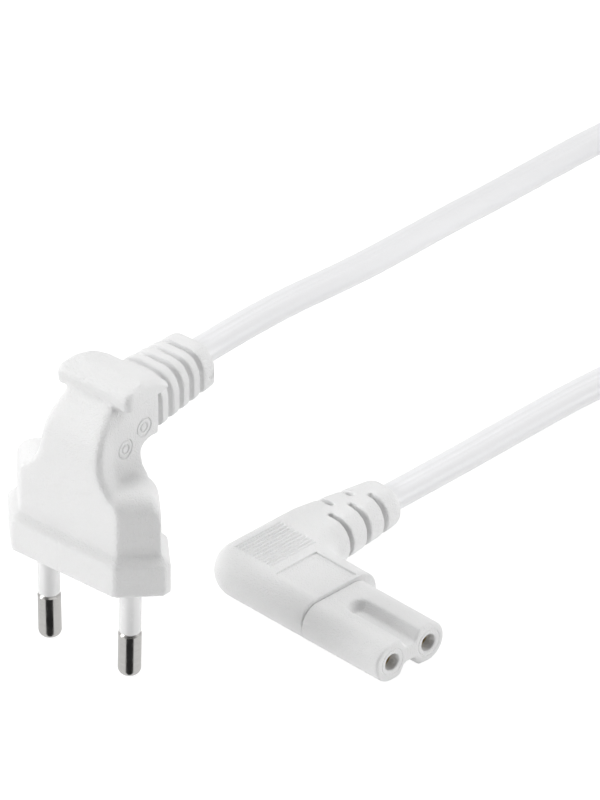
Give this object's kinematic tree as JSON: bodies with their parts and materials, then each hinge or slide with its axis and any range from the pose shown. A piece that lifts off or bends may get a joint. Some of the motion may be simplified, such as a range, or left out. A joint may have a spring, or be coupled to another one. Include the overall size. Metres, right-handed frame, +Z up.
{
  "type": "figure eight power connector",
  "caption": "White mains lead with a right-angled figure-eight connector, a flat two-core cord and a flat right-angled pin plug.",
  "frame": {"origin": "under the middle of the connector, on the surface that the lead lies on", "axes": "+X along the connector's nose, the way it is pushed in; +Y along the leg towards the cord; +Z up"},
  "size_m": [0.1011, 0.2445, 0.0547],
  "materials": {
    "body_vinyl": "white flexible vinyl with a fine moulded grain",
    "nose_plastic": "white hard plastic with a fine moulded grain",
    "contact_metal": "plain brass",
    "core_brown": "brown insulation",
    "core_blue": "blue insulation",
    "copper": "bare copper strands",
    "cord_vinyl": "smooth white vinyl",
    "tie_strap": "white woven strap",
    "pin_metal": "nickel plated",
    "sleeve_plastic": "smooth white insulating sleeve"
  },
  "bodies": {
    "root": {"connector_body": "body_vinyl", "connector_nose": "nose_plastic", "connector_contact_left": "contact_metal", "connector_contact_right": "contact_metal", "connector_core_brown": "core_brown", "connector_core_blue": "core_blue", "connector_strands_brown": "copper", "connector_strands_blue": "copper", "cord_connector_run": "cord_vinyl", "cord_coil": "cord_vinyl", "cord_plug_run": "cord_vinyl", "coil_tie": "tie_strap", "plug_body": "body_vinyl", "plug_pin_carrier": "nose_plastic", "plug_pin_left": "pin_metal", "plug_pin_right": "pin_metal", "plug_pin_sleeve_left": "sleeve_plastic", "plug_pin_sleeve_right": "sleeve_plastic", "plug_core_brown": "core_brown", "plug_core_blue": "core_blue", "plug_strands_brown": "copper", "plug_strands_blue": "copper"}
  },
  "joints": []
}
